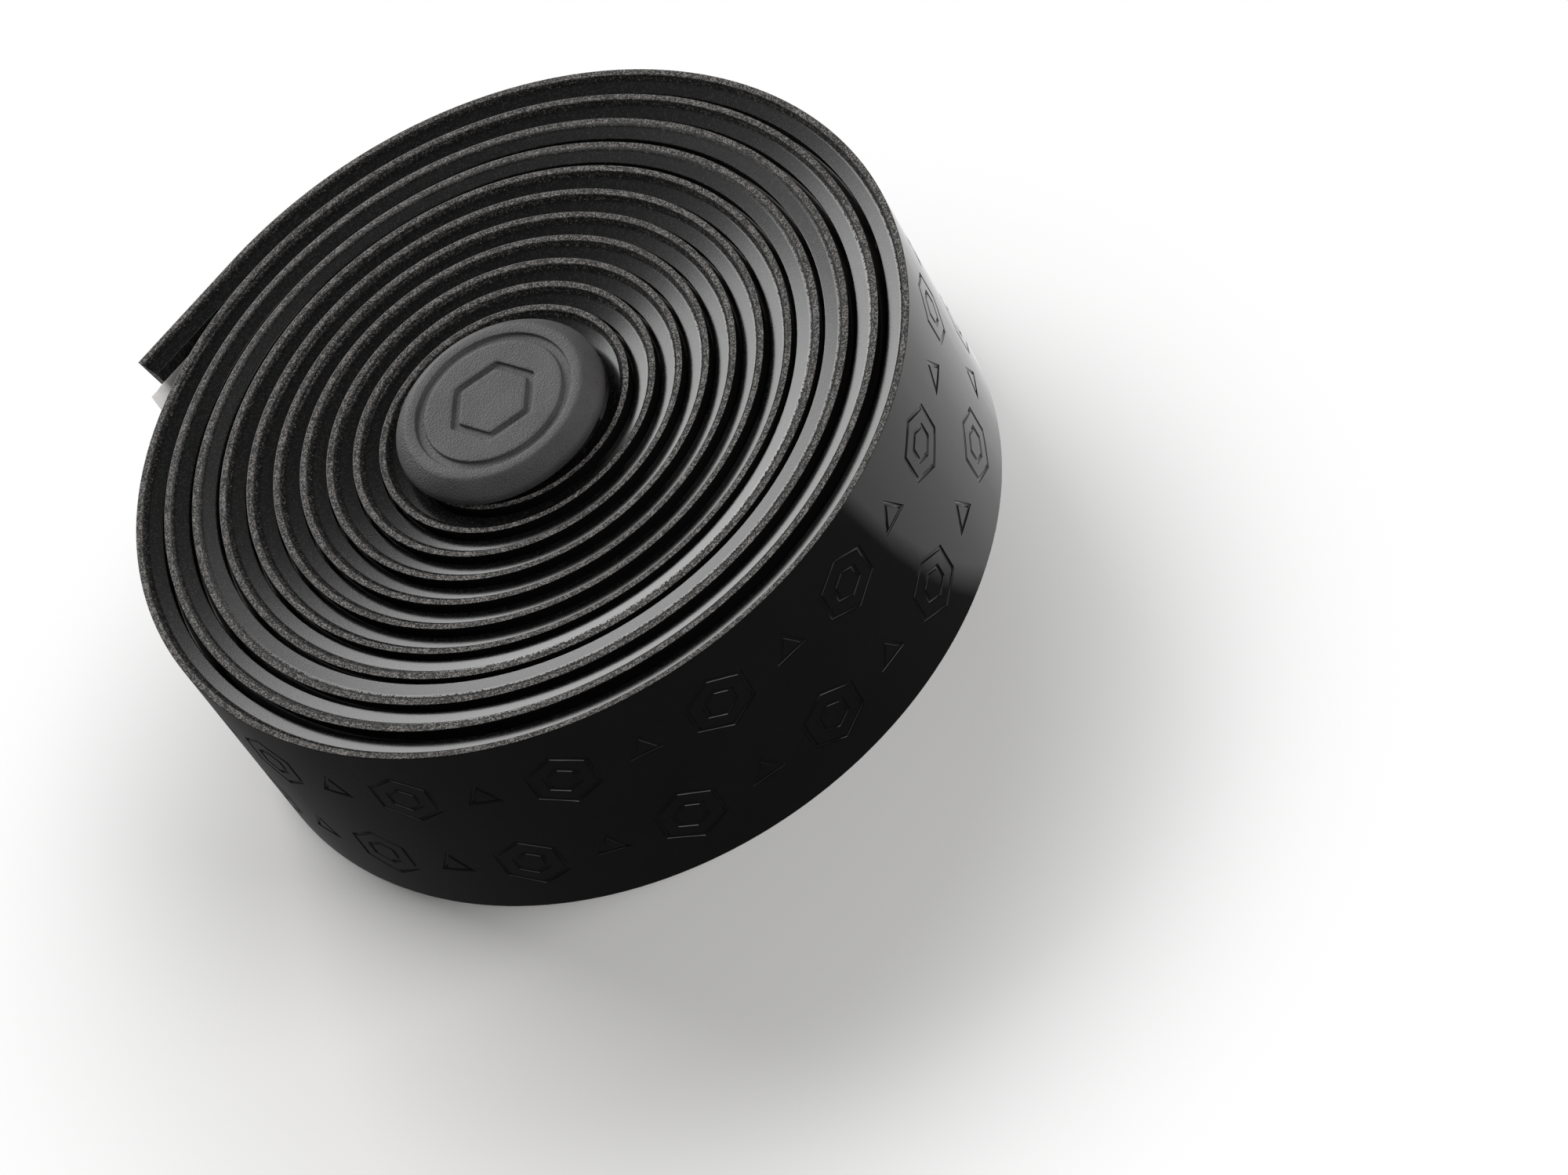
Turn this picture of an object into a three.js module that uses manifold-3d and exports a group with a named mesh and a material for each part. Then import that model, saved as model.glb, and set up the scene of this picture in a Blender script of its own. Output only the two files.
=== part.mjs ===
// Roll of padded handlebar tape with its release liner and a bar-end plug pushed into the core.
// Millimetres, +Z up. The roll lies flat: its long edges face up and down and it stands on z = 0.

import * as THREE from 'three';
import * as BufferGeometryUtils from 'three/addons/utils/BufferGeometryUtils.js';
import Module from 'manifold-3d';

// Tape: an outer skin as wide as the tape, with a thick foam pad behind it that stops short of both edges.
const tapeWidth = 30;
const tapeThickness = 2.95;
const lipThickness = 0.75;      // the skin alone, at both long edges
const padRecess = 1.2;          // mean distance from an edge of the skin to the rim of the pad
const shelfRootShare = 0.6;     // how much of the recess is already reached where pad meets skin
const channelDepth = 0.4;       // shallow channel down the back for the adhesive and its liner
const channelMargin = 0.3;      // the channel is this much wider than the liner on each side

// Pad wander: the pad was laid a little off line, so its recess drifts along the length of the tape.
const wanderAtCore = 0.75;
const wanderPerTurn = -0.15;
const waveHeight = 0.35;
const waveGrowthPerTurn = 0.035;
const wavePitchTurns = 4.5;
const wavePhaseTurns = 1.2;
const greatestWander = 0.9;     // as a share of the recess

// Release liner over the adhesive.
const linerWidth = 24;
const linerThickness = 0.15;
const linerGap = 0.15;          // between the tape's back and the liner
const linerTab = 2.0;           // how far the liner sticks out past the cut end

// Winding, from the inner end outwards and anticlockwise seen from above.
const turns = 10.804;
const turnGap = 0.29;           // mean air between one turn and the next
const looseningOutside = 1.26;  // extra radius that the outer turns have gained by springing open
const coreSag = 0.95;           // how far the core lies off the outer turns' centre, towards -Y
const innerEndAngle = Math.PI;  // direction of the inner end
const tailLength = 17.1;        // straight free end
const endCutSlope = 0.133;      // the end is cut a little off square
const stepsPerTurn = 36;
const tailSteps = 2;

// Bar-end plug.
const headRadius = 12.6;
const headFaceRadius = 10.75;
const headRimHeight = 1.0;
const headChamferHeight = 1.6;
const headShoulderIn = 0.25;    // share of the chamfer's width that is reached
const headShoulderUp = 0.5;     // at this share of its height: the chamfer is bulged
const seatGap = 0.3;            // between the head and the edges of the tape that it rests on
const stemRadius = 8.38;
const ribHeight = 0.45;
const ribCount = 3;
const ribWidth = 1.6;
const ribSpare = 0.5;           // plain stem below the ribs, in rib pitches
const stemLength = 18;
const stemWall = 1.6;
const stemTaper = 1.2;
const stemGap = 0.3;            // between the ribs and the innermost turn
const plugLean = 0.9;           // the plug is pushed against the inner end, towards -X
const plugShift = 0.1;          // and a little towards +Y
const grooveRadius = 8.9;       // middle of the round groove in the face
const grooveWidth = 1.0;
const grooveDepth = 0.35;
const hexagonRadius = 5.6;      // corner radius of the plain hexagon inside the groove
const plugSegments = 48;

const mergeDistance = 1e-4;
const cutterOverrun = 1;        // cutters reach this far out of the face

const tapeSkin = new THREE.MeshStandardMaterial({ color: 0x171616, roughness: 0.5, metalness: 0 });
const linerPaper = new THREE.MeshStandardMaterial({ color: 0xbdb8b5, roughness: 0.6, metalness: 0 });
const plugRubber = new THREE.MeshStandardMaterial({ color: 0x454443, roughness: 0.75, metalness: 0 });

const ribRadius = stemRadius + ribHeight;
const coreRadius = ribRadius + plugLean + stemGap + tapeThickness;
const turnPitch = tapeThickness + turnGap;
const windSteps = Math.round(turns * stepsPerTurn);

// Radius of the skin after a number of turns from the inner end.
function skinRadius(turn) {
  return coreRadius + turnPitch * turn + looseningOutside * (turn / turns) ** 4;
}

// Centre that a turn is wound about: the core lies low, the outside is centred on the origin.
function windCentreY(turn) {
  return -coreSag * (1 - turn / turns);
}

// How far the pad lies above the middle of the tape at a turn; negative is towards the lower edge.
function padWander(turn) {
  const height = waveHeight + waveGrowthPerTurn * turn;
  const wave = height * Math.cos(2 * Math.PI * (turn - wavePhaseTurns) / wavePitchTurns);
  return -(wanderAtCore + wanderPerTurn * turn + wave);
}

// Height of a section point once the pad has wandered: the skin keeps its edges, the pad shifts.
function wanderedHeight(z, turn) {
  const limit = greatestWander * padRecess;
  const shift = THREE.MathUtils.clamp(padWander(turn), -limit, limit);
  if (z < padRecess) return z * (padRecess + shift) / padRecess;
  if (z > tapeWidth - padRecess) return tapeWidth - (tapeWidth - z) * (padRecess - shift) / padRecess;
  return z + shift;
}

// Place of a point of the flat tape on the roll. Depth runs from the skin inwards, and station counts
// the steps of the winding from the inner end; past the last one the tape runs on straight.
function rolledUp(depth, z, station, endSlope, tabLength) {
  const turn = Math.min(station / windSteps, 1) * turns;
  const angle = innerEndAngle + 2 * Math.PI * turn;
  const radius = skinRadius(turn) - depth;
  const height = wanderedHeight(z, turn);
  const tailShare = Math.max(station - windSteps, 0) / tailSteps;
  const run = tailShare * (tailLength - endSlope * (tapeWidth - height) + tabLength);
  return new THREE.Vector3(
    radius * Math.cos(angle) - run * Math.sin(angle),
    windCentreY(turn) + radius * Math.sin(angle) + run * Math.cos(angle),
    height,
  );
}

// Flat strip of a given cross-section, extruded one unit for each step and then rolled up.
function rolledStrip(section, endSlope, tabLength) {
  const steps = windSteps + tailSteps;
  const strip = new THREE.ExtrudeGeometry(section, { depth: steps, steps, bevelEnabled: false });
  const position = strip.attributes.position;
  for (let i = 0; i < position.count; i += 1) {
    const station = Math.round(position.getZ(i));
    const place = rolledUp(position.getX(i), position.getY(i), station, endSlope, tabLength);
    position.setXYZ(i, place.x, place.y, place.z);
  }
  strip.computeVertexNormals();
  return strip;
}

// Cross-section of the tape: x is the depth from the skin, y the height across its width.
function tapeSection() {
  const root = shelfRootShare * padRecess;
  const channelHalf = linerWidth / 2 + channelMargin;
  const half = tapeWidth / 2;
  const floor = tapeThickness - channelDepth;
  return new THREE.Shape([
    new THREE.Vector2(0, 0),
    new THREE.Vector2(lipThickness, 0),
    new THREE.Vector2(lipThickness, root),
    new THREE.Vector2(tapeThickness, padRecess),
    new THREE.Vector2(floor, half - channelHalf),
    new THREE.Vector2(floor, half + channelHalf),
    new THREE.Vector2(tapeThickness, tapeWidth - padRecess),
    new THREE.Vector2(lipThickness, tapeWidth - root),
    new THREE.Vector2(lipThickness, tapeWidth),
    new THREE.Vector2(0, tapeWidth),
  ]);
}

// Cross-section of the liner, lying in the channel on the back of the tape.
function linerSection() {
  const outer = tapeThickness - channelDepth + linerGap;
  const inner = outer + linerThickness;
  const low = (tapeWidth - linerWidth) / 2;
  const high = (tapeWidth + linerWidth) / 2;
  return new THREE.Shape([
    new THREE.Vector2(outer, low),
    new THREE.Vector2(inner, low),
    new THREE.Vector2(inner, high),
    new THREE.Vector2(outer, high),
  ]);
}

const wasm = await Module();
wasm.setup();

// Closed geometry to a solid that can be joined and cut.
function solidOf(geometry) {
  const bare = geometry.clone();
  bare.deleteAttribute('normal');
  bare.deleteAttribute('uv');
  const merged = BufferGeometryUtils.mergeVertices(bare, mergeDistance);
  return new wasm.Manifold(new wasm.Mesh({
    numProp: 3,
    vertProperties: new Float32Array(merged.attributes.position.array),
    triVerts: new Uint32Array(merged.index.array),
  }));
}

// Solid back to a geometry.
function geometryOf(solid) {
  const mesh = solid.getMesh();
  const geometry = new THREE.BufferGeometry();
  geometry.setAttribute('position', new THREE.BufferAttribute(mesh.vertProperties, 3));
  geometry.setIndex(new THREE.BufferAttribute(mesh.triVerts, 1));
  geometry.computeVertexNormals();
  return geometry;
}

// Turned body about +Z from profile points [radius, height] that run upwards outside.
function turned(points, segments = plugSegments) {
  const profile = points.map(([radius, height]) => new THREE.Vector2(radius, height));
  const lathe = new THREE.LatheGeometry(profile, segments);
  return lathe.rotateX(Math.PI / 2);
}

// Profile of the plug about its own axis, with z = 0 at the underside of the head.
function plugProfile() {
  const boreRadius = stemRadius - stemWall;
  const faceHeight = headRimHeight + headChamferHeight;
  const boreTop = -stemWall;
  const points = [[0, boreTop], [boreRadius, boreTop], [boreRadius, -stemLength]];
  points.push([stemRadius - stemTaper / 2, -stemLength]);
  points.push([stemRadius, -stemLength + stemTaper]);
  const ribPitch = (stemLength - stemTaper) / (ribCount + ribSpare);
  for (let rib = ribCount; rib >= 1; rib -= 1) {
    const peak = -rib * ribPitch + ribPitch / 4;
    points.push([stemRadius, peak - ribWidth / 2], [ribRadius, peak], [ribRadius, peak + ribWidth / 4]);
    points.push([stemRadius, peak + ribWidth / 2]);
  }
  points.push([stemRadius, 0], [headRadius, 0], [headRadius, headRimHeight]);
  const shoulderRadius = headRadius - headShoulderIn * (headRadius - headFaceRadius);
  points.push([shoulderRadius, headRimHeight + headShoulderUp * headChamferHeight]);
  points.push([headFaceRadius, faceHeight], [0, faceHeight]);
  return points;
}

// Ring of the groove's width, tall enough to cut down from above the face.
function grooveCutter() {
  const bottom = headRimHeight + headChamferHeight - grooveDepth;
  const top = headRimHeight + headChamferHeight + cutterOverrun;
  const inner = grooveRadius - grooveWidth / 2;
  const outer = grooveRadius + grooveWidth / 2;
  return solidOf(turned([[inner, bottom], [outer, bottom], [outer, top], [inner, top], [inner, bottom]]));
}

// Plain hexagon outline, cut to the same depth and width as the groove.
function hexagonCutter() {
  const corner = (radius, k) => {
    const angle = k * Math.PI / 3;
    return new THREE.Vector2(radius * Math.cos(angle), radius * Math.sin(angle));
  };
  const ring = (radius) => [0, 1, 2, 3, 4, 5].map((k) => corner(radius, k));
  const hexagon = new THREE.Shape(ring(hexagonRadius));
  hexagon.holes.push(new THREE.Path(ring(hexagonRadius - grooveWidth)));
  const prism = new THREE.ExtrudeGeometry(hexagon, { depth: grooveDepth + cutterOverrun, bevelEnabled: false });
  prism.translate(0, 0, headRimHeight + headChamferHeight - grooveDepth);
  return solidOf(prism);
}

function plugGeometry() {
  const body = solidOf(turned(plugProfile()));
  return geometryOf(body.subtract(grooveCutter()).subtract(hexagonCutter()));
}

const roll = new THREE.Group();

const tape = new THREE.Mesh(rolledStrip(tapeSection(), endCutSlope, 0), tapeSkin);
tape.name = 'tape';
roll.add(tape);

const liner = new THREE.Mesh(rolledStrip(linerSection(), 0, linerTab), linerPaper);
liner.name = 'release_liner';
roll.add(liner);

const plug = new THREE.Mesh(plugGeometry(), plugRubber);
plug.name = 'bar_end_plug';
plug.position.set(-plugLean, windCentreY(0) + plugShift, tapeWidth + seatGap);
roll.add(plug);

// The origin lies on the standing surface under the middle of the roll's outline.
const extent = new THREE.Box3().setFromObject(roll).getCenter(new THREE.Vector3());
roll.position.set(-extent.x, -extent.y, 0);

const part = new THREE.Group();
part.add(roll);

export default part;
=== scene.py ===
import math

import bmesh
import bpy
import numpy as np
from mathutils import Matrix, Vector


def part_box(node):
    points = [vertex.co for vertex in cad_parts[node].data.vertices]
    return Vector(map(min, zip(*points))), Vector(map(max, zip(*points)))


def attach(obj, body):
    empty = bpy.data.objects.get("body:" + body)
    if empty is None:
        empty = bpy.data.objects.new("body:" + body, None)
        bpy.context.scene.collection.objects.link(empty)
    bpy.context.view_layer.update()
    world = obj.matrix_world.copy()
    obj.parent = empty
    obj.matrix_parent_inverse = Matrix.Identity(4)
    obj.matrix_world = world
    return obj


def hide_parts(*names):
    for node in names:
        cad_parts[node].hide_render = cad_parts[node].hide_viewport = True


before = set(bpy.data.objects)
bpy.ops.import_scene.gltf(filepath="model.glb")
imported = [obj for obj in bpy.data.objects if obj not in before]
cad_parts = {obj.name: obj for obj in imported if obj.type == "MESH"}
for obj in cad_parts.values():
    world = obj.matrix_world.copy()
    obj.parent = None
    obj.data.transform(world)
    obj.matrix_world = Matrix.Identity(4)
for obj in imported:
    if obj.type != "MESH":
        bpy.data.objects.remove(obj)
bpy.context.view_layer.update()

MM = 0.001

# Tape. Sizes are in millimetres unless marked otherwise. These are the CAD part's own.
TAPE_WIDTH = 30.0
TAPE_THICKNESS = 2.95
LIP_THICKNESS = 0.75        # the skin alone, at both long edges
PAD_RECESS = 1.2            # mean distance from an edge of the skin to the rim of the pad
CHANNEL_DEPTH = 0.4         # shallow channel down the back for the adhesive and its liner
CHANNEL_MARGIN = 0.3        # the channel is this much wider than the liner on each side
WANDER_AT_CORE = 0.75       # drift of the pad: a straight part and a wave, both by turns
WANDER_PER_TURN = -0.15
WAVE_HEIGHT = 0.35
WAVE_GROWTH = 0.035
WAVE_PITCH = 4.5
WAVE_PHASE = 1.2
LINER_WIDTH = 24.0
LINER_THICKNESS = 0.15
LINER_GAP = 0.15            # between the tape's back and the liner
LINER_TAB = 2.0             # how far the liner sticks out past the cut end

# Finer forms of the tape, which the CAD part doesn't have or has a little differently.
LIP_SLANT = 0.06            # the knife leaned a little
SHELF_ROOT = 0.76           # recess where the pad meets the skin
SHELF_FILLET = 0.7
STEEP_RECESS = 0.47         # the shelf keeps its slope where the pad lies at least this deep
LEAST_SHIFT = 0.15          # the pad's drift is held between these two; the CAD part's goes further
GREATEST_SHIFT = 0.95
EDGE_ROUNDING = 0.06        # edges of the lip
RIM_ROUNDING = 0.16         # rim of the pad

# Winding.
TURNS = 10.804
TURN_GAP = 0.29             # air between one turn and the next, where the roll hasn't loosened
LOOSENING = 1.26            # extra radius that the outer turns have gained by springing open
CORE_SAG = 0.95             # how far the core lies off the outer turns' centre
INNER_END_ANGLE = math.pi
TAIL_LENGTH = 17.1          # straight free end
END_CUT_SLOPE = 0.133       # the end is cut a little off square
STEP_LENGTH = 1.6           # length of tape between two cuts across the mesh
TABLE_SIZE = 4001           # places along the spiral at which its length is worked out

# Bar-end plug. The chamfer's shoulder lies further in than the CAD part's.
HEAD_RADIUS = 12.6
HEAD_FACE_RADIUS = 10.75
HEAD_RIM_HEIGHT = 1.0
HEAD_CHAMFER_HEIGHT = 1.6
SHOULDER_IN = 0.42          # share of the chamfer's width that its shoulder reaches
SHOULDER_UP = 0.5           # at this share of its height
SEAT_GAP = 0.3              # between the head and the edges of the tape
STEM_RADIUS = 8.38
STEM_LENGTH = 18.0
STEM_WALL = 1.6
STEM_TAPER = 1.2
STEM_GAP = 0.3              # between the ribs and the innermost turn
RIB_HEIGHT = 0.45
RIB_COUNT = 3
RIB_WIDTH = 1.6
RIB_SPARE = 0.5             # plain stem below the ribs, in rib pitches
PLUG_LEAN = 0.9             # the plug is pushed against the inner end
PLUG_SHIFT = 0.1
GROOVE_RADIUS = 8.9
GROOVE_WIDTH = 1.0
GROOVE_DEPTH = 0.35
HEXAGON_RADIUS = 5.6
HEXAGON_SHARPNESS = 40      # the higher, the sharper its corners
FLAT_MARGIN = 0.6           # flat ground beside the rounded edges of the face
WARP_START = 0.1            # the face is warped to a hexagon from this far off the axis
WARP_MARGIN = 1.2           # to this many flat margins short of the groove
GROOVE_ROUNDING = 0.16
FACE_ROUNDING = 0.3
SHOULDER_ROUNDING = 0.4
RIM_EDGE_ROUNDING = 0.35
FOOT_ROUNDING = 0.25
PLUG_STEPS = 144

# Pressed pattern on the skin: nuts with triangles between them, in two rows half a pitch apart.
NUT_RADII = (4.4, 2.3)
TRIANGLE_RADIUS = 2.6
MOTIF_STROKE = 0.6
MOTIF_DEPTH = 0.2
MOTIF_FOOT = 1.3            # the rounded foot is this many depths tall, so that it crosses the skin
MOTIF_PITCH = 19.0
MOTIF_ROWS = (8.4, 21.6)

CORE_RADIUS = STEM_RADIUS + RIB_HEIGHT + PLUG_LEAN + STEM_GAP + TAPE_THICKNESS
TURN_PITCH = TAPE_THICKNESS + TURN_GAP


def skin_radius(turn):
    """Radius of the skin after a number of turns from the inner end."""
    return CORE_RADIUS + TURN_PITCH * turn + LOOSENING * (turn / TURNS) ** 4


def pad_shift(turn):
    """How far the pad has wandered up from the middle of the tape at a turn."""
    height = WAVE_HEIGHT + WAVE_GROWTH * turn
    wave = height * np.cos(2 * np.pi * (turn - WAVE_PHASE) / WAVE_PITCH)
    return np.clip(-(WANDER_AT_CORE + WANDER_PER_TURN * turn + wave), LEAST_SHIFT, GREATEST_SHIFT)


TURN_TABLE = np.linspace(0, TURNS, TABLE_SIZE)
LENGTH_TABLE = np.concatenate([[0], np.cumsum(
    2 * np.pi * skin_radius((TURN_TABLE[1:] + TURN_TABLE[:-1]) / 2) * np.diff(TURN_TABLE))])
WOUND_LENGTH = LENGTH_TABLE[-1]

plug_low, plug_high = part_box("bar_end_plug")
PLUG_CENTRE = (plug_low + plug_high) / 2 / MM
ROLL_CENTRE = (PLUG_CENTRE.x + PLUG_LEAN, PLUG_CENTRE.y + CORE_SAG - PLUG_SHIFT)


# Modelling

SHARP_ANGLE = math.radians(35)
NEARNESS = 0.01             # a vertex this near a place counts as at it
MERGE_DISTANCE = 0.001


def long_edges(bm):
    """The edges of a flat strip that run along its length."""
    return [e for e in bm.edges if abs(e.verts[0].co.x - e.verts[1].co.x) > MM]


def round_long_edge(bm, depth, height, radius, segments):
    """Rounds the edge of a flat strip that runs along its length at a depth and a height."""
    spot = Vector((depth * MM, height * MM))
    near = [e for e in long_edges(bm) if (e.verts[0].co.yz - spot).length < NEARNESS * MM]
    bmesh.ops.bevel(bm, geom=near, offset=radius * MM, offset_type="OFFSET", segments=segments,
                    profile=0.5, affect="EDGES", material=-1, clamp_overlap=True)


def flat_bar(section, length):
    """Straight bar of a (depth, height) section along +X, as a new bmesh."""
    bm = bmesh.new()
    end = bm.faces.new([bm.verts.new((0, depth * MM, height * MM)) for depth, height in section])
    grown = bmesh.ops.extrude_face_region(bm, geom=[end])["geom"]
    moved = [v for v in grown if isinstance(v, bmesh.types.BMVert)]
    bmesh.ops.translate(bm, vec=(length * MM, 0, 0), verts=moved)
    bmesh.ops.recalc_face_normals(bm, faces=bm.faces)
    return bm


def cut_into_steps(bm, length):
    """Cuts a flat strip across at even steps, so that it can be wound."""
    cuts = round(length / STEP_LENGTH) - 1
    bmesh.ops.subdivide_edgering(bm, edges=long_edges(bm), cuts=cuts, interp_mode="LINEAR")


def finished(name, bm):
    """New object from a bmesh, smooth shaded and sharp where faces meet at more than an angle."""
    mesh = bpy.data.meshes.new(name)
    for face in bm.faces:
        face.smooth = True
    bm.to_mesh(mesh)
    bm.free()
    mesh.set_sharp_from_angle(angle=SHARP_ANGLE)
    piece = bpy.data.objects.new(name, mesh)
    bpy.context.scene.collection.objects.link(piece)
    return piece


def shelf_depth(depth, recess):
    """Depth below the tape's edge of a point of the lip or shelf, where the pad's rim lies at a recess.

    The shelf keeps its slope where the pad lies deep, and flattens where the pad lies near the edge."""
    steepness = np.minimum(recess / STEEP_RECESS, 1)
    rise = (PAD_RECESS - depth) * steepness
    root = recess - (PAD_RECESS - SHELF_ROOT) * steepness
    return np.where(depth > SHELF_ROOT, recess - rise, depth * root / SHELF_ROOT)


def roll_up(piece, end_slope):
    """Winds a flat strip onto the spiral, and keeps its flat place as an attribute for the materials."""
    mesh = piece.data
    flat = np.empty(len(mesh.vertices) * 3)
    mesh.vertices.foreach_get("co", flat)
    mesh.attributes.new("flat_place", "FLOAT_VECTOR", "POINT").data.foreach_set("vector", flat)
    length, depth, height = flat.reshape(-1, 3).T / MM
    turn = np.interp(length, LENGTH_TABLE, TURN_TABLE)
    shift = pad_shift(turn)
    lower = shelf_depth(height, PAD_RECESS + shift)
    upper = TAPE_WIDTH - shelf_depth(TAPE_WIDTH - height, PAD_RECESS - shift)
    z = np.where(height < PAD_RECESS, lower,
                 np.where(height > TAPE_WIDTH - PAD_RECESS, upper, height + shift))
    angle = INNER_END_ANGLE + 2 * np.pi * turn
    radius = skin_radius(turn) - depth
    run = np.maximum(length - WOUND_LENGTH, 0)
    run = run * (1 - end_slope * (TAPE_WIDTH - z) / TAIL_LENGTH)
    x = ROLL_CENTRE[0] + radius * np.cos(angle) - run * np.sin(angle)
    y = ROLL_CENTRE[1] - CORE_SAG * (1 - turn / TURNS) + radius * np.sin(angle) + run * np.cos(angle)
    mesh.vertices.foreach_set("co", (np.stack([x, y, z], axis=1) * MM).ravel())
    mesh.update()


def shade_flats_flat(piece):
    """Keeps the shading of wide faces flat beside small rounded edges."""
    weighted = piece.modifiers.new("flat_faces", "WEIGHTED_NORMAL")
    weighted.keep_sharp = True


def add_outline(bm, corners, radius, along, height):
    """Ring in the outline of a polygon that reaches into the skin, and narrows to its foot."""
    corner_ring = bmesh.ops.create_circle(bm, cap_ends=True, segments=corners, radius=radius * MM)["verts"]
    middle = corner_ring[0].link_faces[0]
    stroke = bmesh.ops.inset_region(bm, faces=[middle], thickness=MOTIF_STROKE * MM, use_boundary=True,
                                    use_even_offset=True)["faces"]
    bmesh.ops.delete(bm, geom=[middle], context="FACES_ONLY")
    foot = {v for f in stroke for v in f.verts}
    rims = [e for e in {e for f in stroke for e in f.edges} if len(e.link_faces) == 1]
    grown = bmesh.ops.extrude_face_region(bm, geom=stroke, use_keep_orig=True)["geom"]
    raised = {v for v in grown if isinstance(v, bmesh.types.BMVert)}
    bmesh.ops.translate(bm, vec=(0, 0, MM), verts=list(raised))
    rounded = bmesh.ops.bevel(bm, geom=rims, offset=MOTIF_FOOT * MOTIF_DEPTH * MM, offset_type="OFFSET",
                              segments=3, profile=0.5, affect="EDGES", material=-1,
                              clamp_overlap=True)["verts"]
    ring = [v for v in {*foot, *raised, *rounded} if v.is_valid]
    place = Matrix.Translation((along * MM, MOTIF_DEPTH * MM, height * MM))
    bmesh.ops.transform(bm, matrix=place @ Matrix.Rotation(math.pi / 2, 4, "X"), verts=ring)


def motif_cutter():
    """The outlines that are pressed into the last turn, standing on the flat skin."""
    bm = bmesh.new()
    start = WOUND_LENGTH - 2 * math.pi * skin_radius(TURNS) - MOTIF_PITCH
    count = int((WOUND_LENGTH + TAIL_LENGTH - start) / MOTIF_PITCH)
    for row, height in enumerate(MOTIF_ROWS):
        for k in range(count):
            along = start + (k + 0.5 * row) * MOTIF_PITCH
            for radius in NUT_RADII:
                add_outline(bm, 6, radius, along, height)
            add_outline(bm, 3, TRIANGLE_RADIUS, along + MOTIF_PITCH / 2, height)
    bmesh.ops.recalc_face_normals(bm, faces=bm.faces)
    return finished("motif_cutter", bm)


def cut_away(piece, cutter):
    """Takes the cutter's shape out of a piece, and removes the cutter."""
    cut = piece.modifiers.new("cut", "BOOLEAN")
    cut.object = cutter
    cut.operation = "DIFFERENCE"
    cut.solver = "MANIFOLD"
    bpy.context.view_layer.update()
    result = bpy.data.meshes.new_from_object(piece.evaluated_get(bpy.context.evaluated_depsgraph_get()))
    piece.modifiers.clear()
    result.set_sharp_from_angle(angle=SHARP_ANGLE)
    piece.data = result
    bpy.data.objects.remove(cutter)


SKIN, CUT_EDGE, SHELF, BACK = range(4)
END_FACING = 0.5            # a face that looks along the strip by more than this is a cut end
SKIN_REACH = 0.1            # a face less deep than this is skin, and so are its rounded edges
LIP_MARGIN = 0.03           # depth past the lip that still belongs to its cut edge
RIM_MARGIN = 0.25           # the rounded rim of the pad still belongs to the shelf


def tape_zone(face):
    """Which surface of the tape a face of the flat bar belongs to."""
    centre = face.calc_center_median() / MM
    edge = min(centre.z, TAPE_WIDTH - centre.z)
    if abs(face.normal.x) > END_FACING:
        return CUT_EDGE
    if centre.y < SKIN_REACH:
        return SKIN
    if centre.y < LIP_THICKNESS + LIP_MARGIN:
        return CUT_EDGE
    if edge < PAD_RECESS + RIM_MARGIN:
        return SHELF
    return BACK


def make_tape():
    """Tape with its lips, shelves, channel and pressed pattern, made flat and then wound up."""
    channel = TAPE_WIDTH / 2 - LINER_WIDTH / 2 - CHANNEL_MARGIN
    floor = TAPE_THICKNESS - CHANNEL_DEPTH
    lower = [(0, 0), (LIP_THICKNESS, LIP_SLANT), (LIP_THICKNESS, SHELF_ROOT), (TAPE_THICKNESS, PAD_RECESS),
             (floor, channel)]
    upper = [(depth, TAPE_WIDTH - height) for depth, height in reversed(lower)]
    bm = flat_bar(lower + upper, WOUND_LENGTH + TAIL_LENGTH)
    for turned in (False, True):
        def at(height):
            return TAPE_WIDTH - height if turned else height
        round_long_edge(bm, 0, at(0), EDGE_ROUNDING, segments=2)
        round_long_edge(bm, LIP_THICKNESS, at(LIP_SLANT), EDGE_ROUNDING, segments=2)
        round_long_edge(bm, LIP_THICKNESS, at(SHELF_ROOT), SHELF_FILLET, segments=6)
        round_long_edge(bm, TAPE_THICKNESS, at(PAD_RECESS), RIM_ROUNDING, segments=3)
    bm.normal_update()
    for face in bm.faces:
        face.material_index = tape_zone(face)
    cut_into_steps(bm, WOUND_LENGTH + TAIL_LENGTH)
    tape = finished("wound_tape", bm)
    for finish in TAPE_FINISHES:
        tape.data.materials.append(finish)
    cut_away(tape, motif_cutter())
    roll_up(tape, END_CUT_SLOPE)
    shade_flats_flat(tape)
    return tape


def make_liner():
    """Release liner in the tape's channel, sticking out past the cut end."""
    outer = TAPE_THICKNESS - CHANNEL_DEPTH + LINER_GAP
    inner = outer + LINER_THICKNESS
    low = (TAPE_WIDTH - LINER_WIDTH) / 2
    high = (TAPE_WIDTH + LINER_WIDTH) / 2
    length = WOUND_LENGTH + TAIL_LENGTH + LINER_TAB
    bm = flat_bar([(outer, low), (inner, low), (inner, high), (outer, high)], length)
    cut_into_steps(bm, length)
    liner = finished("liner_strip", bm)
    liner.data.materials.append(LINER_FINISH)
    roll_up(liner, 0)
    return liner


def round_ring(bm, radius, height, by, segments=3):
    """Rounds the circular edge of a turned body at a radius and a height."""
    def on_ring(v):
        return abs(v.co.xy.length / MM - radius) < NEARNESS and abs(v.co.z / MM - height) < NEARNESS
    ring = [e for e in bm.edges if on_ring(e.verts[0]) and on_ring(e.verts[1])]
    bmesh.ops.bevel(bm, geom=ring, offset=by * MM, offset_type="OFFSET", segments=segments,
                    profile=0.5, affect="EDGES", material=-1, clamp_overlap=True)


def hexagon_share(angle):
    """Distance to a softly cornered hexagon, as a share of its corner radius, in a direction."""
    flats = sum(abs(math.cos(angle - math.radians(30 + 60 * k))) ** HEXAGON_SHARPNESS for k in range(3))
    return math.cos(math.radians(30)) / flats ** (1 / HEXAGON_SHARPNESS)


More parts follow.
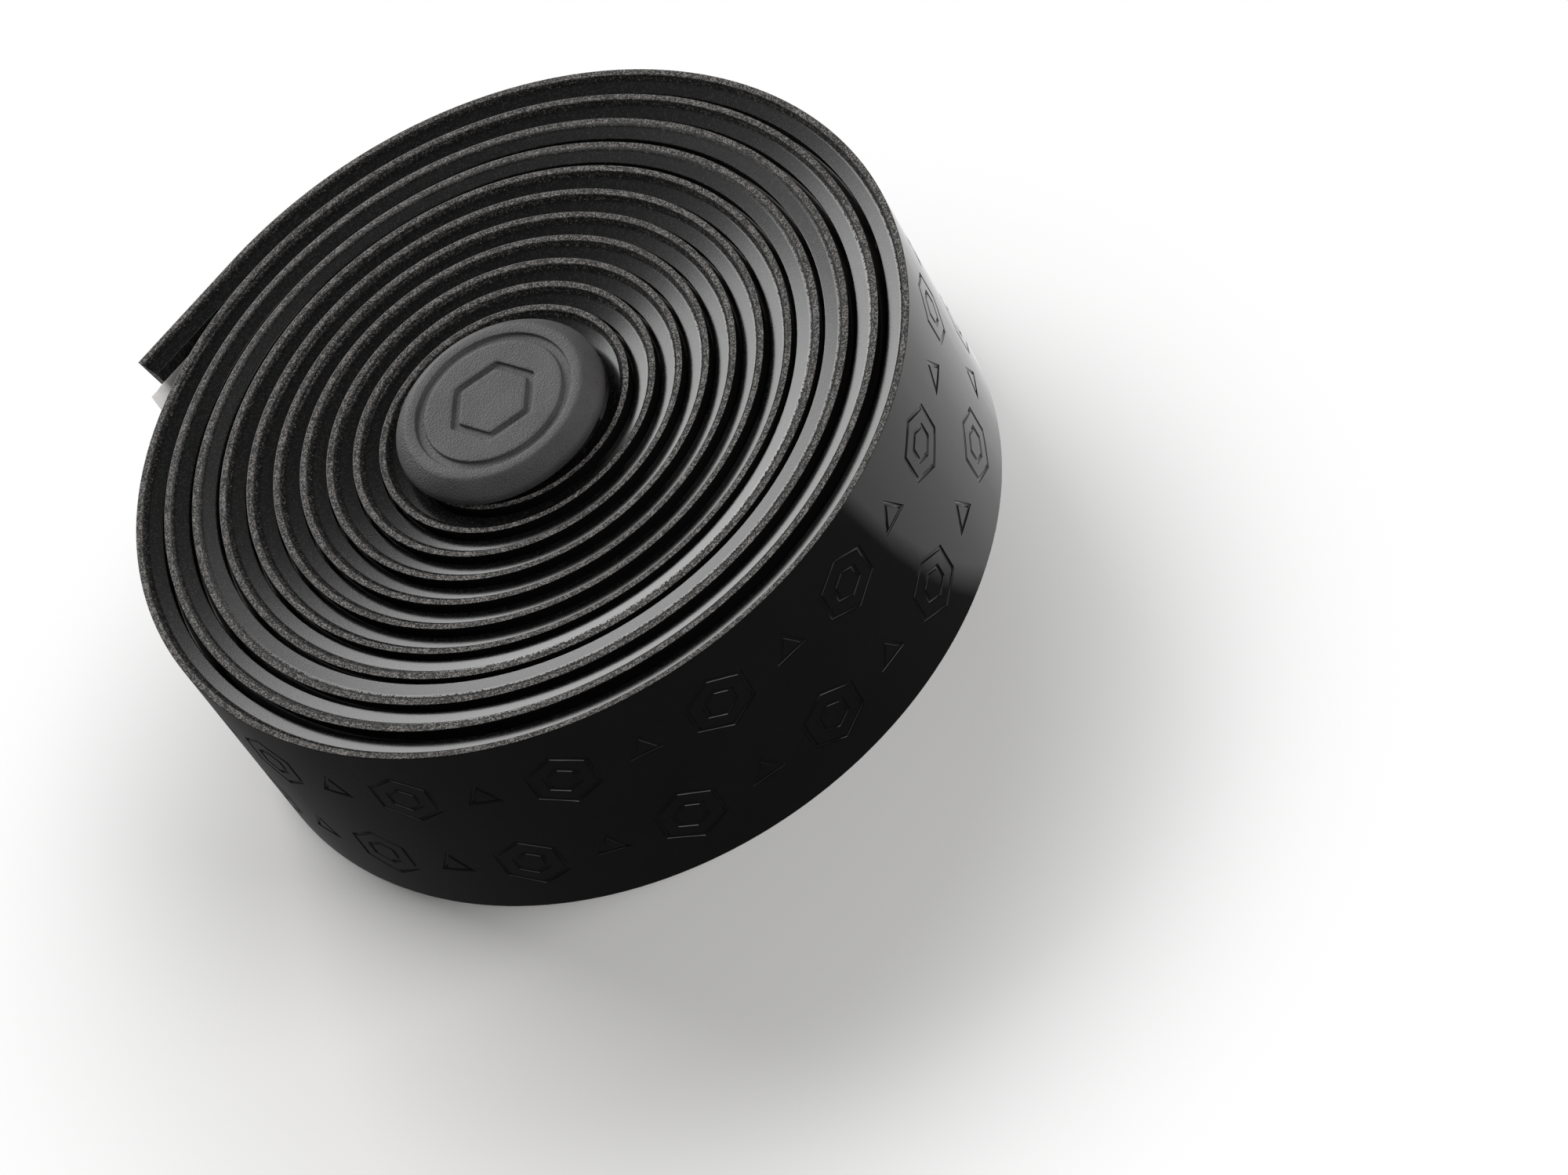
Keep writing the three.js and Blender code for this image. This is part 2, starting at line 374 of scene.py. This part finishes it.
def make_plug():
    """Plug turned from one profile, with the middle of its face warped from round to a hexagon."""
    face = HEAD_RIM_HEIGHT + HEAD_CHAMFER_HEIGHT
    bore = STEM_RADIUS - STEM_WALL
    shoulder = (HEAD_RADIUS - SHOULDER_IN * (HEAD_RADIUS - HEAD_FACE_RADIUS),
                HEAD_RIM_HEIGHT + SHOULDER_UP * HEAD_CHAMFER_HEIGHT)
    groove_in, groove_out = GROOVE_RADIUS - GROOVE_WIDTH / 2, GROOVE_RADIUS + GROOVE_WIDTH / 2
    hexagon_in = HEXAGON_RADIUS - GROOVE_WIDTH
    floor = face - GROOVE_DEPTH
    profile = [(0, -STEM_WALL), (bore, -STEM_WALL), (bore, -STEM_LENGTH)]
    profile += [(STEM_RADIUS - STEM_TAPER / 2, -STEM_LENGTH), (STEM_RADIUS, -STEM_LENGTH + STEM_TAPER)]
    pitch = (STEM_LENGTH - STEM_TAPER) / (RIB_COUNT + RIB_SPARE)
    for rib in range(RIB_COUNT, 0, -1):
        peak = -rib * pitch + pitch / 4
        profile += [(STEM_RADIUS, peak - RIB_WIDTH / 2), (STEM_RADIUS + RIB_HEIGHT, peak)]
        profile += [(STEM_RADIUS + RIB_HEIGHT, peak + RIB_WIDTH / 4), (STEM_RADIUS, peak + RIB_WIDTH / 2)]
    profile += [(STEM_RADIUS, 0), (HEAD_RADIUS, 0), (HEAD_RADIUS, HEAD_RIM_HEIGHT), shoulder]
    profile += [(HEAD_FACE_RADIUS, face), (HEAD_FACE_RADIUS - FLAT_MARGIN, face), (groove_out, face)]
    profile += [(groove_out, floor), (groove_in, floor), (groove_in, face), (groove_in - FLAT_MARGIN, face)]
    profile += [(HEXAGON_RADIUS + FLAT_MARGIN, face), (HEXAGON_RADIUS, face), (HEXAGON_RADIUS, floor)]
    profile += [(hexagon_in, floor), (hexagon_in, face), (hexagon_in - FLAT_MARGIN, face), (0, face)]
    bm = bmesh.new()
    chain = [bm.verts.new((radius * MM, 0, height * MM)) for radius, height in profile]
    line = [bm.edges.new(pair) for pair in zip(chain, chain[1:])]
    bmesh.ops.spin(bm, geom=chain + line, cent=(0, 0, 0), axis=(0, 0, 1), angle=2 * math.pi,
                   steps=PLUG_STEPS, use_merge=True)
    bmesh.ops.remove_doubles(bm, verts=bm.verts, dist=MERGE_DISTANCE * MM)
    bmesh.ops.recalc_face_normals(bm, faces=bm.faces)
    for radius in (groove_out, groove_in, HEXAGON_RADIUS, hexagon_in):
        round_ring(bm, radius, face, GROOVE_ROUNDING)
        round_ring(bm, radius, floor, GROOVE_ROUNDING)
    round_ring(bm, HEAD_FACE_RADIUS, face, FACE_ROUNDING)
    round_ring(bm, *shoulder, SHOULDER_ROUNDING)
    round_ring(bm, HEAD_RADIUS, HEAD_RIM_HEIGHT, RIM_EDGE_ROUNDING)
    round_ring(bm, HEAD_RADIUS, 0, FOOT_ROUNDING)
    for v in bm.verts:
        radius = v.co.xy.length / MM
        if v.co.z > 0 and WARP_START < radius < groove_in - WARP_MARGIN * FLAT_MARGIN:
            v.co.xy *= hexagon_share(math.atan2(v.co.y, v.co.x))
    seat = (PLUG_CENTRE.x * MM, PLUG_CENTRE.y * MM, (TAPE_WIDTH + SEAT_GAP) * MM)
    bmesh.ops.translate(bm, vec=seat, verts=bm.verts)
    plug = finished("plug_body", bm)
    plug.data.materials.append(PLUG_FINISH)
    shade_flats_flat(plug)
    return plug


# Materials

CUT_CELLS = 0.13            # size of the drawn cells where a knife cut the foam
SKIVED_CELLS = 0.17         # where a roller skived it
RAW_CELLS = 0.2             # and where it is raw
TORN_FROM = 0.8             # depth to which all cells beside the lip are torn
TORN_REACH = 0.45           # and how much deeper the last torn ones lie
TORN_FADE = 0.03            # torn passes into closed over this much depth


def srgb(code):
    """Linear colour of an sRGB hex value such as #171616."""
    parts = [int(code[k:k + 2], 16) / 255 for k in (1, 3, 5)]
    return [p / 12.92 if p <= 0.04045 else ((p + 0.055) / 1.055) ** 2.4 for p in parts] + [1.0]


def add_node(tree, kind, inputs=None, **settings):
    """New node with its settings, and each input either a value or the socket that feeds it."""
    node = tree.nodes.new(kind)
    for name, value in settings.items():
        setattr(node, name, value)
    for name, value in (inputs or {}).items():
        if isinstance(value, bpy.types.NodeSocket):
            tree.links.new(value, node.inputs[name])
        else:
            node.inputs[name].default_value = value
    return node


def blank_material(name):
    """New material with an empty node tree, and that tree."""
    material = bpy.data.materials.new(name)
    material.use_nodes = True
    material.node_tree.nodes.clear()
    return material, material.node_tree


def per_mm(size):
    """Scale of a noise whose features are about this many millimetres apart."""
    return 1 / (size * MM)


def flat_coordinates(tree):
    """Where a point lay on the flat strip, before it was wound up."""
    return add_node(tree, "ShaderNodeAttribute", attribute_name="flat_place").outputs["Vector"]


def object_coordinates(tree):
    """Where a point lies in the piece's own frame."""
    return add_node(tree, "ShaderNodeTexCoord").outputs["Object"]


def polyurethane_skin():
    """Cast polyurethane on a release paper: smooth, near black, a low gloss broken by a fine grain."""
    material, tree = blank_material("polyurethane_skin")
    place = flat_coordinates(tree)
    grain = add_node(tree, "ShaderNodeTexNoise", {"Vector": place, "Scale": per_mm(0.35), "Detail": 3.0,
                                                  "Roughness": 0.6})
    cloud = add_node(tree, "ShaderNodeTexNoise", {"Vector": place, "Scale": per_mm(9.0), "Detail": 2.0})
    colour = add_node(tree, "ShaderNodeValToRGB", {"Fac": cloud.outputs["Fac"]})
    colour.color_ramp.elements[0].color = srgb("#0b0a0a")
    colour.color_ramp.elements[1].color = srgb("#121111")
    gloss = add_node(tree, "ShaderNodeMapRange", {
        "Value": cloud.outputs["Fac"], "From Min": 0.3, "From Max": 0.7, "To Min": 0.06, "To Max": 0.09})
    bump = add_node(tree, "ShaderNodeBump", {"Height": grain.outputs["Fac"], "Strength": 0.08,
                                             "Distance": 0.01 * MM})
    shader = add_node(tree, "ShaderNodeBsdfPrincipled", {
        "Base Color": colour.outputs["Color"], "Roughness": gloss.outputs["Result"],
        "Normal": bump.outputs["Normal"], "IOR": 1.45, "Specular IOR Level": 0.35})
    add_node(tree, "ShaderNodeOutputMaterial", {"Surface": shader.outputs["BSDF"]})
    return material


def foam(name, dark, light, light_share, cell_size, roughness, pit_depth, specular):
    """Closed-cell EVA foam. Where a knife opened cells, their walls make light specks.

    The real cells are about 0.1 mm. They are drawn coarser, so that they show."""
    material, tree = blank_material(name)
    place = flat_coordinates(tree)
    cells = add_node(tree, "ShaderNodeTexVoronoi", {"Vector": place, "Scale": per_mm(cell_size)})
    chance = add_node(tree, "ShaderNodeSeparateColor", {"Color": cells.outputs["Color"]})
    cloud = add_node(tree, "ShaderNodeTexNoise", {"Vector": place, "Scale": per_mm(1.5), "Detail": 3.0})
    patchy = add_node(tree, "ShaderNodeMapRange", {
        "Value": cloud.outputs["Fac"], "From Min": 0.3, "From Max": 0.7, "To Min": -0.12, "To Max": 0.12})
    speck = add_node(tree, "ShaderNodeMath", {0: chance.outputs["Red"], 1: patchy.outputs["Result"]},
                     operation="ADD")
    colour = add_node(tree, "ShaderNodeValToRGB", {"Fac": speck.outputs["Value"]})
    colour.color_ramp.elements[0].position = max(0.0, 0.75 - light_share)
    colour.color_ramp.elements[0].color = srgb(dark)
    colour.color_ramp.elements[1].position = min(1.0, 1.25 - light_share)
    colour.color_ramp.elements[1].color = srgb(light)
    pits = add_node(tree, "ShaderNodeMath", {0: cells.outputs["Distance"], 1: chance.outputs["Green"]},
                    operation="MULTIPLY")
    bump = add_node(tree, "ShaderNodeBump", {"Height": pits.outputs["Value"], "Strength": 0.6,
                                             "Distance": pit_depth * MM})
    shader = add_node(tree, "ShaderNodeBsdfPrincipled", {
        "Base Color": colour.outputs["Color"], "Roughness": roughness, "Specular IOR Level": specular,
        "Normal": bump.outputs["Normal"]})
    add_node(tree, "ShaderNodeOutputMaterial", {"Surface": shader.outputs["BSDF"]})
    return material


def skived_foam():
    """EVA foam that a hot skiving roller closed: satin, with a ragged row of torn cells beside the lip.

    Its pores haze it over where it is seen almost edge on."""
    material, tree = blank_material("skived_eva_foam")
    place = flat_coordinates(tree)
    cells = add_node(tree, "ShaderNodeTexVoronoi", {"Vector": place, "Scale": per_mm(SKIVED_CELLS)})
    chance = add_node(tree, "ShaderNodeSeparateColor", {"Color": cells.outputs["Color"]})
    depth = add_node(tree, "ShaderNodeSeparateXYZ", {"Vector": place})
    reach = add_node(tree, "ShaderNodeMath", {
        0: chance.outputs["Green"], 1: -TORN_REACH * MM, 2: depth.outputs["Y"]}, operation="MULTIPLY_ADD")
    closed = add_node(tree, "ShaderNodeMapRange", {
        "Value": reach.outputs["Value"], "From Min": TORN_FROM * MM,
        "From Max": (TORN_FROM + TORN_FADE) * MM})
    satin = add_node(tree, "ShaderNodeValToRGB", {"Fac": chance.outputs["Red"]})
    satin.color_ramp.elements[0].position = 0.55
    satin.color_ramp.elements[0].color = srgb("#0b0a0a")
    satin.color_ramp.elements[1].color = srgb("#242322")
    torn = add_node(tree, "ShaderNodeValToRGB", {"Fac": chance.outputs["Blue"]})
    torn.color_ramp.elements[0].position = 0.5
    torn.color_ramp.elements[0].color = srgb("#0a0909")
    torn.color_ramp.elements[1].color = srgb("#504e4c")
    colour = add_node(tree, "ShaderNodeMixRGB", {
        "Fac": closed.outputs["Result"], "Color1": torn.outputs["Color"], "Color2": satin.outputs["Color"]})
    slant = add_node(tree, "ShaderNodeLayerWeight")
    haze = add_node(tree, "ShaderNodeMapRange", {
        "Value": slant.outputs["Facing"], "From Min": 0.8, "From Max": 0.97, "To Min": 0.2, "To Max": 0.75})
    gloss = add_node(tree, "ShaderNodeMapRange", {"Value": closed.outputs["Result"], "To Min": 0.85,
                                                  "To Max": haze.outputs["Result"]})
    bump = add_node(tree, "ShaderNodeBump", {"Height": cells.outputs["Distance"], "Strength": 0.6,
                                             "Distance": 0.003 * MM})
    shader = add_node(tree, "ShaderNodeBsdfPrincipled", {
        "Base Color": colour.outputs["Color"], "Roughness": gloss.outputs["Result"],
        "Specular IOR Level": 0.3, "Normal": bump.outputs["Normal"]})
    add_node(tree, "ShaderNodeOutputMaterial", {"Surface": shader.outputs["BSDF"]})
    return material


def siliconised_film():
    """Siliconised polyethylene release film: whitish and milky, so that light glows through it."""
    material, tree = blank_material("siliconised_release_film")
    place = flat_coordinates(tree)
    milk = add_node(tree, "ShaderNodeTexNoise", {"Vector": place, "Scale": per_mm(4.0), "Detail": 3.0})
    colour = add_node(tree, "ShaderNodeValToRGB", {"Fac": milk.outputs["Fac"]})
    colour.color_ramp.elements[0].color = srgb("#cfcbc8")
    colour.color_ramp.elements[1].color = srgb("#dfdcd9")
    bump = add_node(tree, "ShaderNodeBump", {"Height": milk.outputs["Fac"], "Strength": 0.15,
                                             "Distance": 0.1 * MM})
    shader = add_node(tree, "ShaderNodeBsdfPrincipled", {
        "Base Color": colour.outputs["Color"], "Roughness": 0.42, "Normal": bump.outputs["Normal"],
        "Subsurface Weight": 0.8, "Subsurface Radius": (1, 1, 1), "Subsurface Scale": MM})
    add_node(tree, "ShaderNodeOutputMaterial", {"Surface": shader.outputs["BSDF"]})
    return material


def moulded_rubber():
    """Thermoplastic rubber from an eroded mould: dark grey, matte, with a fine leathery grain."""
    material, tree = blank_material("moulded_thermoplastic_rubber")
    place = object_coordinates(tree)
    pebbles = add_node(tree, "ShaderNodeTexVoronoi", {"Vector": place, "Scale": per_mm(0.22)})
    fine = add_node(tree, "ShaderNodeTexNoise", {"Vector": place, "Scale": per_mm(0.16), "Detail": 3.0})
    cloud = add_node(tree, "ShaderNodeTexNoise", {"Vector": place, "Scale": per_mm(6.0), "Detail": 2.0})
    tone = add_node(tree, "ShaderNodeMath", {0: fine.outputs["Fac"], 1: 0.7, 2: cloud.outputs["Fac"]},
                    operation="MULTIPLY_ADD")
    colour = add_node(tree, "ShaderNodeValToRGB", {"Fac": tone.outputs["Value"]})
    colour.color_ramp.elements[0].position = 0.55
    colour.color_ramp.elements[0].color = srgb("#312f30")
    colour.color_ramp.elements[1].position = 1.0
    colour.color_ramp.elements[1].color = srgb("#4b494a")
    grain = add_node(tree, "ShaderNodeMath", {0: pebbles.outputs["Distance"], 1: fine.outputs["Fac"]},
                     operation="ADD")
    bump = add_node(tree, "ShaderNodeBump", {"Height": grain.outputs["Value"], "Strength": 0.7,
                                             "Distance": 0.07 * MM})
    shader = add_node(tree, "ShaderNodeBsdfPrincipled", {
        "Base Color": colour.outputs["Color"], "Roughness": 0.62, "Normal": bump.outputs["Normal"],
        "Specular IOR Level": 0.4})
    add_node(tree, "ShaderNodeOutputMaterial", {"Surface": shader.outputs["BSDF"]})
    return material


SHADOW_MIDDLE = (-12, -30, 0)       # middle of the soft shadow on the paper
SHADOW_RADII = (40, 92)             # to the camera, the shadow fades to plain white between these
PAINTED_WHITE_SIDE = (0.75, 0.66, 0)        # direction from the roll in which glossy pieces see a painted white reflection, not the lit paper
PAINTED_REFLECTION_FADE = (-2, 2.5)             # across these distances that way, the painted dark reflection turns to painted white
PAINTED_DARK_REFLECTION = 0.1                    # brightness of the painted dark reflection, a dark card that isn't there, where white is 1


def paper_with_painted_reflection():
    """White background paper, plain white away from the roll's shadow.

    Glossy rays see it as a painted reflection: glowing white on the right and behind, and a painted dark card
    on the other side, whatever light falls on the paper."""
    material, tree = blank_material("white_paper_painted_reflection")
    place = object_coordinates(tree)
    shadow_middle = tuple(mm * MM for mm in SHADOW_MIDDLE)
    reach = add_node(tree, "ShaderNodeVectorMath", {0: place, 1: shadow_middle}, operation="DISTANCE")
    seen_white = add_node(tree, "ShaderNodeMapRange", {
        "Value": reach.outputs["Value"], "From Min": SHADOW_RADII[0] * MM,
        "From Max": SHADOW_RADII[1] * MM}, interpolation_type="SMOOTHSTEP")
    # painted reflection: glossy rays see the paper glow white on one side and as a dark card that isn't there
    # on the other
    away = add_node(tree, "ShaderNodeVectorMath", {0: place, 1: PAINTED_WHITE_SIDE}, operation="DOT_PRODUCT")
    painted_reflection = add_node(tree, "ShaderNodeMapRange", {
        "Value": away.outputs["Value"], "From Min": PAINTED_REFLECTION_FADE[0] * MM, "From Max": PAINTED_REFLECTION_FADE[1] * MM,
        "To Min": PAINTED_DARK_REFLECTION, "To Max": 1.0})
    rays = add_node(tree, "ShaderNodeLightPath")
    seen = add_node(tree, "ShaderNodeMath", {
        0: seen_white.outputs["Result"], 1: rays.outputs["Is Camera Ray"]}, operation="MULTIPLY")
    # glossy rays always get the painted glow, never the lit paper
    share = add_node(tree, "ShaderNodeMath", {0: seen.outputs["Value"], 1: rays.outputs["Is Glossy Ray"]},
                     operation="ADD", use_clamp=True)
    # the camera gets plain white glow, glossy rays the painted reflection
    backdrop_and_painted_glow = add_node(tree, "ShaderNodeMath", {0: painted_reflection.outputs["Result"], 1: rays.outputs["Is Camera Ray"]},
                    operation="MAXIMUM")
    paper = add_node(tree, "ShaderNodeBsdfPrincipled", {"Base Color": srgb("#efeeed"), "Roughness": 0.9,
                                                        "Specular IOR Level": 0.1})
    white = add_node(tree, "ShaderNodeEmission", {"Color": (1, 1, 1, 1), "Strength": backdrop_and_painted_glow.outputs["Value"]})
    mix = add_node(tree, "ShaderNodeMixShader", {0: share.outputs["Value"], 1: paper.outputs["BSDF"],
                                                 2: white.outputs["Emission"]})
    add_node(tree, "ShaderNodeOutputMaterial", {"Surface": mix.outputs["Shader"]})
    return material


TAPE_FINISHES = [
    polyurethane_skin(),
    foam("cut_eva_foam", dark="#242322", light="#85827f", light_share=0.3, cell_size=CUT_CELLS,
         roughness=0.8, pit_depth=0.04, specular=0.3),
    skived_foam(),
    foam("raw_eva_foam", dark="#121111", light="#353433", light_share=0.25, cell_size=RAW_CELLS,
         roughness=0.9, pit_depth=0.05, specular=0.2),
]
LINER_FINISH = siliconised_film()
PLUG_FINISH = moulded_rubber()


# Floor, light and camera

FLOOR_REACH = 3.0           # metres to each side
LAMP_DISTANCE = 0.8         # metres
WORLD_LEVEL = 0.14          # what the white surroundings add to the lamps
SENSOR_WIDTH = 36.0
FOCAL_LENGTH = 123.68
CAMERA_DISTANCE = 612.18
CAMERA_ELEVATION = math.radians(45.186)
CAMERA_ROLL = math.radians(-34.325)
CAMERA_PAN = math.radians(-2.382)
CAMERA_TILT = math.radians(-1.099)
AIM_OFFSET = 0.15           # the lens aims this far behind the roll's centre
NEAR_LIMIT = 0.01           # metres


def make_floor():
    """Sheet of paper far wider than the picture."""
    bm = bmesh.new()
    bmesh.ops.create_grid(bm, x_segments=1, y_segments=1, size=FLOOR_REACH)
    floor = finished("floor", bm)
    floor.data.materials.append(paper_with_painted_reflection())
    return floor


def soft_light(name, direction, size, power):
    """Rectangular lamp in a direction from the part, aimed at it."""
    lamp = bpy.data.lights.new(name, "AREA")
    lamp.shape = "RECTANGLE"
    lamp.size, lamp.size_y = size
    lamp.energy = power
    holder = bpy.data.objects.new(name, lamp)
    away = Vector(direction).normalized()
    holder.location = away * LAMP_DISTANCE
    holder.rotation_euler = away.to_track_quat("Z", "Y").to_euler()
    bpy.context.scene.collection.objects.link(holder)


def make_world():
    """White surroundings: full white to the camera, and a low even light on the part."""
    world = bpy.data.worlds.new("studio")
    world.use_nodes = True
    tree = world.node_tree
    tree.nodes.clear()
    rays = add_node(tree, "ShaderNodeLightPath")
    level = add_node(tree, "ShaderNodeMapRange", {
        "Value": rays.outputs["Is Camera Ray"], "To Min": WORLD_LEVEL, "To Max": 1.0})
    back = add_node(tree, "ShaderNodeBackground", {
        "Color": (1, 1, 1, 1), "Strength": level.outputs["Result"]})
    add_node(tree, "ShaderNodeOutputWorld", {"Surface": back.outputs["Background"]})
    bpy.context.scene.world = world


def make_camera():
    """Long lens, 45 degrees above the floor, rolled as the roll leans in the picture."""
    data = bpy.data.cameras.new("camera")
    data.sensor_width = SENSOR_WIDTH
    data.lens = FOCAL_LENGTH
    camera = bpy.data.objects.new("camera", data)
    aim = Vector((ROLL_CENTRE[0], ROLL_CENTRE[1] + AIM_OFFSET, TAPE_WIDTH / 2)) * MM
    back = Vector((0, -math.cos(CAMERA_ELEVATION), math.sin(CAMERA_ELEVATION)))
    turn = Matrix.Rotation(math.pi / 2 - CAMERA_ELEVATION, 4, "X") @ Matrix.Rotation(CAMERA_ROLL, 4, "Z")
    turn = turn @ Matrix.Rotation(CAMERA_PAN, 4, "Y") @ Matrix.Rotation(CAMERA_TILT, 4, "X")
    camera.matrix_world = Matrix.Translation(aim + CAMERA_DISTANCE * MM * back) @ turn
    data.clip_start = NEAR_LIMIT
    bpy.context.scene.collection.objects.link(camera)
    bpy.context.scene.camera = camera


tape = make_tape()
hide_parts("tape")
liner = make_liner()
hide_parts("release_liner")
plug = make_plug()
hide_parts("bar_end_plug")
for piece in (tape, liner, plug):
    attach(piece, "root")

make_floor()
soft_light("softbox_behind", direction=(-0.17, 0.89, 0.42), size=(0.54, 0.52), power=7.5)
soft_light("softbox_right", direction=(0.65, -0.42, 0.62), size=(0.5, 0.5), power=3.2)
soft_light("softbox_front", direction=(-0.1, -0.72, 0.66), size=(0.6, 0.4), power=1.0)
make_world()
make_camera()
bpy.context.scene.view_settings.view_transform = "Standard"
